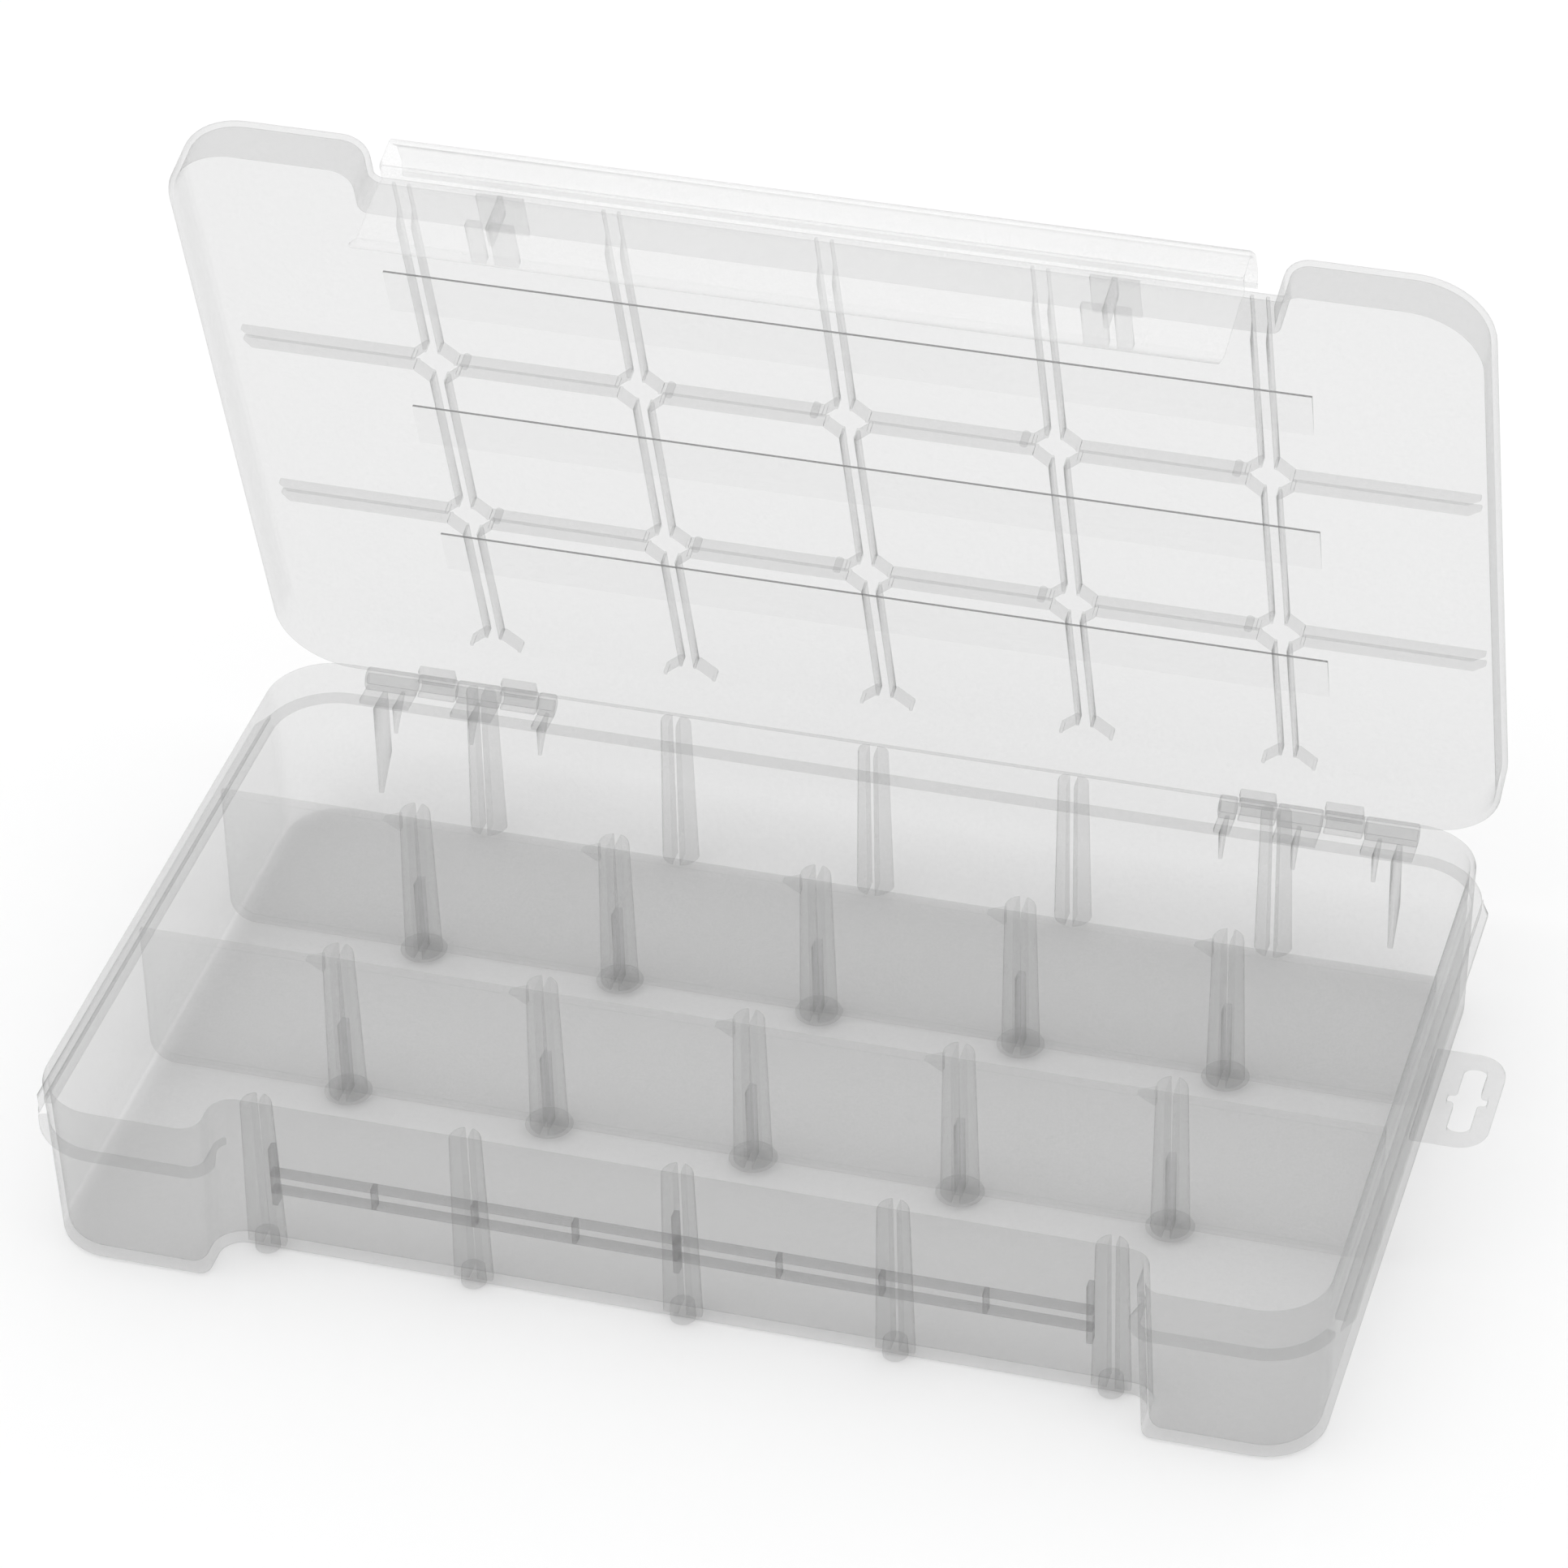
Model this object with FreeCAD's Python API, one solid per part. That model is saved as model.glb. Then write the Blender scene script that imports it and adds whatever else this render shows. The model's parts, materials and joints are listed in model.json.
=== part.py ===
"""Fishing tackle box: a clear tub with three rows, a hinged lid and a front latch flap.

Millimetres, +Z up, +X along the long side, the front at -Y. The origin is the centre of the
underside. The lid and its latch are drawn shut and then turned open by LID_OPEN.
"""

import FreeCAD
import Part

import math
import os

V = FreeCAD.Vector

# Tub moulding: outer sizes at the rim
TUB_L = 344.0
TUB_W = 208.0
RIM_H = 49.5
WALL = 1.6
FLOOR = 1.6
DRAFT = 1.5  # how far a wall leans in from the rim to the underside
CORNER_R = 18.0

# Recess between the two front towers, where the latch sits
RECESS_D = 15.0
RETURN_X = 123.5
TOWER_R = 4.5
RECESS_R = 4.5

# Ledge round the outside that the lid's skirt stops on
FLANGE_Z = 35.7
FLANGE_T = 2.0
FLANGE_OUT = 2.0
SIDE_LEDGE_OUT = 4.2
SIDE_LEDGE_HALF = 88.0

# Fixed partitions and the slotted posts that hold loose dividers
PARTITION_Y = (-21.5, 43.0)
PARTITION_T = 1.4
PARTITION_H = 46.0
POST_PITCH = 57.0
POSTS = 5
POST_R = 4.7
POST_H = 49.5
SLOT_W = 2.2
SLOT_FILL_T = 4.2
SLOT_FILL_H = 25.0

# Rail on the recess wall that the latch hooks under
RAIL_HALF = 110.0
RAIL_OUT = 3.0
RAIL_T = 1.2
RAIL_Z = (22.4, 28.0)
RAIL_WEB_PITCH = 27.3
STOP_T = 1.6
STOP_Z = (18.4, 37.4)

# Hang tab on the right-hand ledge, with a peg hole
TAB_W = 37.0
TAB_REACH = 18.0
TAB_Y = 6.0
TAB_R = 8.0
HOLE_L = 28.0
HOLE_W = 6.2
HOLE_EYE = 10.6
HOLE_INSET = 10.1

# Hinge: pins in blocks on the tub, clips on the lid
HINGE_GAP_Y = 7.8
HINGE_Z = 39.4
PIN_R = 1.6
BARREL_R = 3.3
HINGE_FIT = 0.05
HINGE_BLOCKS = ((96.0, 100.5), (112.5, 124.5), (137.0, 151.5))
HINGE_CLIPS = ((101.5, 111.5), (125.5, 136.0))
GUSSET_X = (98.2, 118.5, 141.0)
GUSSET_T = 1.2
GUSSET_H = 8.0
STAND_RIB_X = 146.5
STAND_RIB_T = 1.6
STAND_RIB_BOTTOM = 6.0
STAND_RIB_TAPER = 9.0

# Lid moulding
LID_OPEN = 73.5
LID_OUT = 3.0
LID_WALL = 1.6
LID_TOP_T = 1.6
LID_OVER_POST = 0.9
LID_SEAT_GAP = 0.6
LID_RETURN_LEAN = 1.6
RIB_T = 0.9
RIB_GAP = 3.2
RIB_H = 3.4
RING_GAP = 0.8
RIB_END_GAP = 1.0
RIB_LOW_H = 0.6
FOOT_GAP = 1.9
FOOT_END_GAP = 2.8
RIDGE_H = 0.45
RIDGE_W = 15.0
RIDGE_HALF = 125.5
RIDGE_Y = (-52.0, 2.5, 57.0)

# Latch flap, hung from the lid's front edge
LATCH_HALF = 113.3
LATCH_T = 1.3
LATCH_BEAD_R = 0.7
LATCH_GAP = 0.5
LATCH_CREST = 1.6
LATCH_TOP_FALL = 3.6
LATCH_REACH = 17.4
LATCH_UPPER_H = 9.6
LATCH_STEP = 5.2
LATCH_STEP_FLARE = 1.4
LATCH_LOWER_H = 21.5
LATCH_LIP = 3.4
LATCH_LIP_H = 5.2
CATCH_X = 80.7
CATCH_W = 12.8
CATCH_T = 1.4
CATCH_NOSE_H = 2.4
CATCH_STOP_Z = 36.8
CATCH_STOP_BACK = 1.0
CATCH_GAP = 0.3
CATCH_WEB_GAP = 0.6
RAIL_CLEAR = 1.3

STATIONS = [(i - (POSTS - 1) / 2) * POST_PITCH for i in range(POSTS)]
LID_IN_Z = max(RIM_H, POST_H) + LID_OVER_POST
LID_TOP_Z = LID_IN_Z + LID_TOP_T
FLANGE_TOP = FLANGE_Z + FLANGE_T
SKIRT_Z = FLANGE_TOP + LID_SEAT_GAP
RECESS_Y = -TUB_W / 2 + RECESS_D
HINGE_Y = TUB_W / 2 + HINGE_GAP_Y
HINGE = V(0, HINGE_Y, HINGE_Z)
FRONT_POST_Y = RECESS_Y + WALL + DRAFT / 2
BACK_POST_Y = TUB_W / 2 - WALL - DRAFT / 2
END_WALL_HALF = TUB_W / 2 - CORNER_R - LID_OUT  # straight stretch of the short ends
MARGIN = 10.0


def lean(z):
    """Outward offset of the tub's outer wall at height z, nought at the rim."""
    return -DRAFT * (1 - z / RIM_H)


def outline(out, z, return_lean=0.0):
    """Closed wire of the plan, moved outward by out, with the recess and its rounded returns."""
    l, w, r = TUB_L / 2 + out, TUB_W / 2 + out, CORNER_R + out
    x, floor_y = RETURN_X - out - return_lean, RECESS_Y - out
    tower_r, recess_r = max(TOWER_R + out, 0.6), max(RECESS_R - out, 0.6)
    corners = [  # centre, radius, start angle, end angle, going anticlockwise
        (l - r, w - r, r, 0, 90),
        (-l + r, w - r, r, 90, 180),
        (-l + r, -w + r, r, 180, 270),
        (-x - tower_r, -w + tower_r, tower_r, 270, 360),
        (-x + recess_r, floor_y - recess_r, recess_r, 180, 90),
        (x - recess_r, floor_y - recess_r, recess_r, 90, 0),
        (x + tower_r, -w + tower_r, tower_r, 180, 270),
        (l - r, -w + r, r, 270, 360),
    ]

    def point(cx, cy, radius, degrees):
        a = math.radians(degrees)
        return V(cx + radius * math.cos(a), cy + radius * math.sin(a), z)

    edges, last = [], None
    for cx, cy, radius, a0, a1 in corners:
        start, end = point(cx, cy, radius, a0), point(cx, cy, radius, a1)
        if last:
            edges.append(Part.makeLine(last, start))
        edges.append(Part.Arc(start, point(cx, cy, radius, (a0 + a1) / 2), end).toShape())
        last = end
    edges.append(Part.makeLine(last, edges[0].Vertexes[0].Point))
    return Part.Wire(edges)


def plan_loft(levels, return_lean=None):
    """Solid through the plan outlines at (outward offset, height) levels."""
    leans = return_lean or [0.0] * len(levels)
    wires = [outline(out, z, extra) for (out, z), extra in zip(levels, leans)]
    return Part.makeLoft(wires, True, True)


def box(x0, x1, y0, y1, z0, z1):
    return Part.makeBox(x1 - x0, y1 - y0, z1 - z0, V(x0, y0, z0))


def polygon_x(points, x0, x1):
    """Prism along X of a closed (y, z) outline."""
    wire = Part.makePolygon([V(x0, y, z) for y, z in points + points[:1]])
    return Part.Face(wire).extrude(V(x1 - x0, 0, 0))


def ribbon(points, thick):
    """Closed (y, z) outline of a strip of even thickness, with points along its middle."""
    sides = ([], [])
    for i, (y, z) in enumerate(points):
        dirs = []
        for a, b in ((i - 1, i), (i, i + 1)):
            if a >= 0 and b < len(points):
                dy, dz = points[b][0] - points[a][0], points[b][1] - points[a][1]
                length = math.hypot(dy, dz)
                dirs.append((dy / length, dz / length))
        normals = [(-dz, dy) for dy, dz in dirs]
        ny, nz = (sum(n[k] for n in normals) for k in (0, 1))
        scale = thick / 2 / (ny * normals[0][0] + nz * normals[0][1])
        sides[0].append((y + ny * scale, z + nz * scale))
        sides[1].append((y - ny * scale, z - nz * scale))
    return sides[0] + sides[1][::-1]


def fuse(shapes):
    shapes = list(shapes)
    return shapes[0].multiFuse(shapes[1:]).removeSplitter() if len(shapes) > 1 else shapes[0]


def both_sides(make):
    """make(side) for the left and right halves of the box."""
    return [make(side) for side in (-1, 1)]


def spans(side, ranges):
    """Ranges along X on one side of the middle, in rising order."""
    return [tuple(sorted((side * a, side * b))) for a, b in ranges]


def tub_outer():
    return plan_loft([(lean(0), 0), (0, RIM_H)])


def tub_inner():
    return plan_loft([(lean(FLOOR) - WALL, FLOOR), (lean(RIM_H + MARGIN) - WALL, RIM_H + MARGIN)])


def tub_shell():
    return tub_outer().cut(tub_inner())


def band(shape, y0, y1, z0, z1):
    """The part of a shape between these limits along Y and Z."""
    return shape.common(box(-TUB_L, TUB_L, y0, y1, z0, z1))


def tub_floor():
    return band(tub_shell(), -TUB_W, TUB_W, 0, FLOOR)


def tub_wall(y0, y1):
    return band(tub_shell(), y0, y1, FLOOR, RIM_H)


def recess_middle():
    """Block over the flat of the recess wall, between its rounded corners."""
    half = RETURN_X - RECESS_R
    return box(-half, half, -TUB_W, 0, 0, RIM_H)


def tub_recess_wall():
    return tub_wall(-TUB_W, -END_WALL_HALF).common(recess_middle())


def tower_walls():
    """Walls round the two front towers, one solid each."""
    return tub_wall(-TUB_W, -END_WALL_HALF).cut(recess_middle())


def lid_stop_flange():
    """Ledge round the towers, sides and back, wider along the straight sides, with no ledge in
    the recess."""
    ring = plan_loft([(FLANGE_OUT, FLANGE_Z), (FLANGE_OUT, FLANGE_TOP)])
    side_x = TUB_L / 2 + SIDE_LEDGE_OUT
    ledges = box(-side_x, side_x, -SIDE_LEDGE_HALF, SIDE_LEDGE_HALF, FLANGE_Z, FLANGE_TOP)
    recess = box(-RETURN_X + FLANGE_OUT, RETURN_X - FLANGE_OUT, -TUB_W, 0, FLANGE_Z, FLANGE_TOP)
    return fuse([ring, ledges]).cut(recess).cut(tub_outer())


def flange_band(y0, y1):
    return band(lid_stop_flange(), y0, y1, FLANGE_Z, FLANGE_TOP)


def slotted_post(x, y):
    """Round post at a station, with a slot through it from front to back."""
    post = Part.makeCylinder(POST_R, POST_H - FLOOR, V(x, y, FLOOR))
    slot = box(x - SLOT_W / 2, x + SLOT_W / 2, y - POST_R, y + POST_R, FLOOR, POST_H)
    return post.cut(slot)


def partition(y):
    wall = box(-TUB_L, TUB_L, y - PARTITION_T / 2, y + PARTITION_T / 2, FLOOR, PARTITION_H)
    return wall.common(tub_inner())


def partition_posts(y):
    """Slotted posts on both faces of a partition, with a thicker fill low in each slot."""
    fills = [
        box(x - SLOT_W / 2, x + SLOT_W / 2, y - SLOT_FILL_T / 2, y + SLOT_FILL_T / 2, FLOOR, SLOT_FILL_H)
        for x in STATIONS
    ]
    posts = [slotted_post(x, y) for x in STATIONS]
    return fuse([*fills, *posts]).cut(partition(y))


def wall_posts(wall_y):
    """Half-round slotted posts moulded against the inside of a long wall."""
    inner = tub_inner()
    posts = [slotted_post(x, wall_y).common(inner) for x in STATIONS]
    return Part.makeCompound([solid for post in posts for solid in post.Solids])


def latch_rail():
    """Two ledges with webs and taller stops across the recess wall."""
    back_y = RECESS_Y + DRAFT
    front_y = RECESS_Y - lean(RAIL_Z[0]) - RAIL_OUT
    ledges = [box(-RAIL_HALF, RAIL_HALF, front_y, back_y, z, z + RAIL_T) for z in RAIL_Z]
    webs = [
        box(x - RAIL_T / 2, x + RAIL_T / 2, front_y, back_y, RAIL_Z[0], RAIL_Z[1])
        for x in rail_webs()
    ]
    stops = [
        box(x, x + STOP_T, front_y, back_y, *STOP_Z)
        for x in (-RAIL_HALF, -STOP_T / 2, RAIL_HALF - STOP_T)
    ]
    return fuse([*ledges, *webs, *stops]).cut(tub_outer())


def hang_tab():
    """Rounded tab level with the ledge, with a peg hole that has a round eye in its middle."""
    x0 = TUB_L / 2 + SIDE_LEDGE_OUT
    x1, y0, y1 = x0 + TAB_REACH, TAB_Y - TAB_W / 2, TAB_Y + TAB_W / 2
    plate = box(x0, x1, y0, y1, FLANGE_Z, FLANGE_TOP)
    corners = [e for e in plate.Edges if abs(e.Vertexes[0].X - x1) + abs(e.Vertexes[1].X - x1) < 0.01]
    upright = [e for e in corners if abs(e.Vertexes[0].Z - e.Vertexes[1].Z) > 0.01]
    plate = plate.makeFillet(TAB_R, upright)
    hole_x, end = x0 + HOLE_INSET, HOLE_L / 2 - HOLE_W / 2
    slot = box(hole_x - HOLE_W / 2, hole_x + HOLE_W / 2, TAB_Y - end, TAB_Y + end, FLANGE_Z, FLANGE_TOP)
    rounds = [
        Part.makeCylinder(r, FLANGE_T, V(hole_x, y, FLANGE_Z))
        for r, y in ((HOLE_W / 2, TAB_Y - end), (HOLE_W / 2, TAB_Y + end), (HOLE_EYE / 2, TAB_Y))
    ]
    return plate.cut(fuse([slot, *rounds]))


def x_cylinder(radius, x0, x1):
    return Part.makeCylinder(radius, x1 - x0, V(x0, HINGE_Y, HINGE_Z), V(1, 0, 0))


def hinge_pins():
    """One pin through each group of hinge blocks."""
    ends = (HINGE_BLOCKS[0][0], HINGE_BLOCKS[-1][1])
    return Part.makeCompound([x_cylinder(PIN_R, *spans(side, [ends])[0]) for side in (-1, 1)])


def tub_hinge_blocks():
    """Blocks behind the back wall that hold the pins, with a gusset under each."""
    wall_y = TUB_W / 2 - DRAFT
    outer, flange = tub_outer(), lid_stop_flange()
    solids = []
    for side in (-1, 1):
        for (x0, x1), gusset_x in zip(HINGE_BLOCKS, GUSSET_X):
            x0, x1 = sorted((side * x0, side * x1))
            barrel = x_cylinder(BARREL_R, x0, x1)
            foot = box(x0, x1, wall_y, HINGE_Y, HINGE_Z - BARREL_R, FLANGE_TOP)
            edge = side * gusset_x - GUSSET_T / 2
            gusset = polygon_x(
                [(HINGE_Y, FLANGE_Z + 1), (wall_y, FLANGE_Z + 1), (wall_y, FLANGE_Z - GUSSET_H)],
                edge,
                edge + GUSSET_T,
            )
            block = fuse([barrel, foot, gusset]).cut(x_cylinder(PIN_R, x0, x1))
            solids += block.cut(outer).cut(flange).Solids
    return Part.makeCompound([s for s in solids if s.Volume > 1.0])


def back_stand_ribs():
    """A tall tapering rib near each back corner, reaching as far back as the hinge."""
    wall_y, reach = TUB_W / 2 - DRAFT - 1, HINGE_Y
    points = [
        (wall_y, FLANGE_Z),
        (reach, FLANGE_Z),
        (reach, STAND_RIB_BOTTOM + STAND_RIB_TAPER),
        (wall_y, STAND_RIB_BOTTOM),
    ]
    outer, blocks = tub_outer(), tub_hinge_blocks()

    def rib(side):
        edge = side * STAND_RIB_X - STAND_RIB_T / 2
        return polygon_x(points, edge, edge + STAND_RIB_T).cut(outer).cut(blocks)

    return Part.makeCompound([solid for shape in both_sides(rib) for solid in shape.Solids])


def lid_outer():
    return plan_loft([(LID_OUT, SKIRT_Z), (LID_OUT, LID_TOP_Z)], [LID_RETURN_LEAN, 0.0])


def lid_inner():
    out = LID_OUT - LID_WALL
    return plan_loft([(out, SKIRT_Z - MARGIN), (out, LID_IN_Z)], [LID_RETURN_LEAN, 0.0])


def lid_shell():
    return lid_outer().cut(lid_inner())


def lid_panel():
    return band(lid_shell(), -TUB_W, TUB_W, LID_IN_Z, LID_TOP_Z)


def lid_skirt(y0, y1):
    return band(lid_shell(), y0, y1, SKIRT_Z, LID_IN_Z)


def octagon(x, y, flat, z0, z1):
    """Upright eight-sided prism with flats at this distance from its middle."""
    corner = flat / math.cos(math.pi / 8)
    ring = [
        V(x + corner * math.cos(a), y + corner * math.sin(a), z0)
        for a in ((i + 0.5) * math.pi / 4 for i in range(8))
    ]
    return Part.Face(Part.makePolygon(ring + ring[:1])).extrude(V(0, 0, z1 - z0))


def rib_pairs(mids, make):
    """make(middle) for both ribs of the pair about each of these lines."""
    offset = (RIB_GAP + RIB_T) / 2
    return [make(mid + side) for mid in mids for side in (-offset, offset)]


def post_rings():
    """Eight-sided rings that clear the posts, as (outside, inside) solids under the lid."""
    gaps = {y: RING_GAP for y in PARTITION_Y}
    gaps[BACK_POST_Y] = FOOT_GAP
    z0, z1 = LID_IN_Z - RIB_H, LID_IN_Z
    spots = [(x, y, POST_R + gap) for x in STATIONS for y, gap in gaps.items()]
    outside = fuse(octagon(x, y, inside + RIB_T, z0, z1) for x, y, inside in spots)
    return outside, fuse(octagon(x, y, inside, z0, z1) for x, y, inside in spots)


def lid_long_ribs():
    """Pairs of ribs along the lid that straddle the partitions, from ring to ring."""
    z0, z1 = LID_IN_Z - RIB_H, LID_IN_Z
    half_x = TUB_L / 2 - WALL - RIB_END_GAP
    ribs = rib_pairs(PARTITION_Y, lambda y: box(-half_x, half_x, y - RIB_T / 2, y + RIB_T / 2, z0, z1))
    return fuse(ribs).cut(post_rings()[0])


def lid_cross_ribs():
    """Pairs of ribs across the lid that straddle the loose dividers, from ring to ring, and only
    low ones over the tub's front wall and its posts."""
    z0, z1 = LID_IN_Z - RIB_H, LID_IN_Z
    edge = RECESS_Y - LID_OUT + LID_WALL
    front = FRONT_POST_Y + POST_R + RIB_END_GAP
    back = BACK_POST_Y - POST_R

    def rib(x):
        high = box(x - RIB_T / 2, x + RIB_T / 2, front, back, z0, z1)
        return fuse([high, box(x - RIB_T / 2, x + RIB_T / 2, edge, front, z1 - RIB_LOW_H, z1)])

    ribs = Part.makeCompound(rib_pairs(STATIONS, rib))
    return ribs.cut(post_rings()[0])


def lid_post_rings():
    """Rings in quarters round the posts, and splayed feet round the back wall's posts."""
    z0, z1 = LID_IN_Z - RIB_H, LID_IN_Z
    back = TUB_W / 2 - WALL - FOOT_END_GAP
    outside, inside = post_rings()
    return outside.cut(fuse([inside, box(-TUB_L, TUB_L, back, TUB_W, z0, z1), channels(z0, z1)]))


def channels(z0, z1):
    """The open way between the two ribs of each pair, which also opens the rings."""
    half = RIB_GAP / 2
    ways = [box(-TUB_L, TUB_L, y - half, y + half, z0, z1) for y in PARTITION_Y]
    ways += [box(x - half, x + half, -TUB_W, TUB_W, z0, z1) for x in STATIONS]
    return fuse(ways)


def lid_step_ridges():
    """Shallow wedges along the outside of the lid, each a step at the front that fades back."""
    wedges = [
        polygon_x([(y, LID_TOP_Z), (y, LID_TOP_Z + RIDGE_H), (y + RIDGE_W, LID_TOP_Z)], -RIDGE_HALF, RIDGE_HALF)
        for y in RIDGE_Y
    ]
    return Part.makeCompound(wedges)


def lid_hinge_clips():
    """C-shaped clips that snap over the pins, each on an arm from the lid's back skirt."""
    skirt_y = TUB_W / 2 + LID_OUT
    outer = lid_outer()
    solids = []
    for side in (-1, 1):
        for x0, x1 in spans(side, HINGE_CLIPS):
            barrel = x_cylinder(BARREL_R, x0, x1)
            arm = box(x0, x1, skirt_y - LID_WALL, HINGE_Y, HINGE_Z, HINGE_Z + BARREL_R)
            mouth = box(x0, x1, HINGE_Y - BARREL_R, HINGE_Y, HINGE_Z - BARREL_R, HINGE_Z - PIN_R / 2)
            bore = x_cylinder(PIN_R + HINGE_FIT, x0, x1)
            solids += fuse([barrel, arm]).cut(mouth).cut(bore).cut(outer).Solids
    return Part.makeCompound(solids)


def latch_axis():
    """Middle of the latch's hinge bead with the lid shut."""
    y = RECESS_Y - LID_OUT - LATCH_GAP - LATCH_BEAD_R
    return V(0, y, LID_TOP_Z - LATCH_BEAD_R)


def latch_levels():
    """Heights of the flap's shoulder, finger step and the start of its lip."""
    shoulder = latch_axis().z - LATCH_TOP_FALL
    step = shoulder - LATCH_UPPER_H
    return shoulder, step, step - LATCH_LOWER_H


def latch_flap():
    """Crowned top, upper face, finger step, lower face and a lip flared out for the fingers."""
    axis = latch_axis()
    shoulder, step, bottom = latch_levels()
    front = axis.y - LATCH_REACH
    lower = front + LATCH_STEP - LATCH_STEP_FLARE
    path = [
        (axis.y, axis.z),
        (axis.y - LATCH_REACH / 4, axis.z + LATCH_CREST),
        (axis.y - LATCH_REACH * 2 / 3, axis.z + LATCH_CREST / 4),
        (front, shoulder),
        (front, step),
        (front + LATCH_STEP, step),
        (lower, step - 2 * LATCH_STEP_FLARE),
        (lower, bottom),
        (lower - LATCH_LIP, bottom - LATCH_LIP_H),
    ]
    sheet = polygon_x(ribbon(path, LATCH_T), -LATCH_HALF, LATCH_HALF)
    bead = Part.makeCylinder(LATCH_BEAD_R, 2 * LATCH_HALF, V(-LATCH_HALF, axis.y, axis.z), V(1, 0, 0))
    return fuse([sheet, bead])


def rail_webs():
    """X of the webs that tie the rail's two ledges together."""
    return [i * RAIL_WEB_PITCH for i in range(-3, 4)]


def latch_catches():
    """A stop shelf and a hooked nose inside the flap, on a web, one set near each end.

    The nose hooks under the rail's upper ledge when the flap is pressed in, astride the rail's
    own web, and stands clear of the rail as drawn."""
    _, step, _ = latch_levels()
    leaf = latch_axis().y - LATCH_REACH + LATCH_STEP - LATCH_STEP_FLARE
    tip = RECESS_Y - lean(RAIL_Z[0]) - RAIL_OUT - RAIL_CLEAR
    nose_top = RAIL_Z[1] - CATCH_GAP
    nose_z = nose_top - CATCH_NOSE_H
    flap = latch_flap()

    def catch(side):
        x0, x1 = side * CATCH_X - CATCH_W / 2, side * CATCH_X + CATCH_W / 2
        web_x = min(rail_webs(), key=lambda x: abs(x - side * CATCH_X))
        half_slot = RAIL_T / 2 + CATCH_WEB_GAP
        stop = box(x0, x1, leaf, tip - CATCH_STOP_BACK, CATCH_STOP_Z - CATCH_T, CATCH_STOP_Z)
        nose = box(x0, x1, leaf, tip, nose_z, nose_top)
        slot = box(web_x - half_slot, web_x + half_slot, (leaf + tip) / 2, tip, nose_z, nose_top)
        mid = side * CATCH_X - CATCH_T / 2
        web = box(mid, mid + CATCH_T, leaf, (leaf + tip) / 2, nose_z, CATCH_STOP_Z)
        pieces = fuse([stop, nose.cut(slot), web]).cut(flap).Solids
        return max(pieces, key=lambda solid: solid.Volume)

    return Part.makeCompound(both_sides(catch))


def opened(shape):
    """The shape turned with the lid to its open position."""
    turned = shape.copy()
    turned.rotate(HINGE, V(1, 0, 0), -LID_OPEN)
    return turned


TUB_NODES = {
    "tub_floor": tub_floor,
    "tub_recess_wall": tub_recess_wall,
    "tower_walls": tower_walls,
    "tub_end_walls": lambda: tub_wall(-END_WALL_HALF, END_WALL_HALF),
    "tub_back_wall": lambda: tub_wall(END_WALL_HALF, TUB_W),
    "tower_flanges": lambda: flange_band(-TUB_W, -SIDE_LEDGE_HALF),
    "end_ledges": lambda: flange_band(-SIDE_LEDGE_HALF, SIDE_LEDGE_HALF),
    "back_flange": lambda: flange_band(SIDE_LEDGE_HALF, TUB_W),
    "front_partition": lambda: partition(PARTITION_Y[0]),
    "rear_partition": lambda: partition(PARTITION_Y[1]),
    "front_partition_posts": lambda: partition_posts(PARTITION_Y[0]),
    "rear_partition_posts": lambda: partition_posts(PARTITION_Y[1]),
    "front_wall_posts": lambda: wall_posts(FRONT_POST_Y),
    "back_wall_posts": lambda: wall_posts(BACK_POST_Y),
    "latch_rail": latch_rail,
    "hang_tab": hang_tab,
    "hinge_pins": hinge_pins,
    "tub_hinge_blocks": tub_hinge_blocks,
    "back_stand_ribs": back_stand_ribs,
}
LID_NODES = {
    "lid_panel": lid_panel,
    "lid_front_skirt": lambda: lid_skirt(-TUB_W, -END_WALL_HALF),
    "lid_end_skirts": lambda: lid_skirt(-END_WALL_HALF, END_WALL_HALF),
    "lid_back_skirt": lambda: lid_skirt(END_WALL_HALF, TUB_W),
    "lid_long_ribs": lid_long_ribs,
    "lid_cross_ribs": lid_cross_ribs,
    "lid_post_rings": lid_post_rings,
    "lid_step_ridges": lid_step_ridges,
    "lid_hinge_clips": lid_hinge_clips,
    "latch_flap": latch_flap,
    "latch_catches": latch_catches,
}

os.makedirs("parts", exist_ok=True)
for name, make in TUB_NODES.items():
    make().exportStep(f"parts/{name}.step")
for name, make in LID_NODES.items():
    opened(make()).exportStep(f"parts/{name}.step")
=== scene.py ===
"""Clear tackle box: a tub, a hinged lid and a latch flap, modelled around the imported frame."""

import json
import math

import bmesh
import bpy
from bpy.props import FloatProperty, PointerProperty, StringProperty
from mathutils import Matrix, Vector


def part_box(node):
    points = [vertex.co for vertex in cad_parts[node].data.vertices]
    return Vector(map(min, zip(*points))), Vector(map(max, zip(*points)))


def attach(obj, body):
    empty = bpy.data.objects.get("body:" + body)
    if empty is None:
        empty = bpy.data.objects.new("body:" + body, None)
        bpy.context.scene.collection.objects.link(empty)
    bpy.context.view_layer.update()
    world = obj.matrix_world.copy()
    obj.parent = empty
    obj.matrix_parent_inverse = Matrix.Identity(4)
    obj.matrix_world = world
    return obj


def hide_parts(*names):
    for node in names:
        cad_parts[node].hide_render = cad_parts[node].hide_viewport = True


bl_info = {
    "name": "Clear Tackle Box",
    "version": (1, 0, 0),
    "blender": (4, 5, 0),
    "location": "View3D > Sidebar > Tackle Box",
    "description": "Builds a clear moulded tackle box with its lid, latch flap and studio stage",
    "category": "Add Mesh",
}

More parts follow.
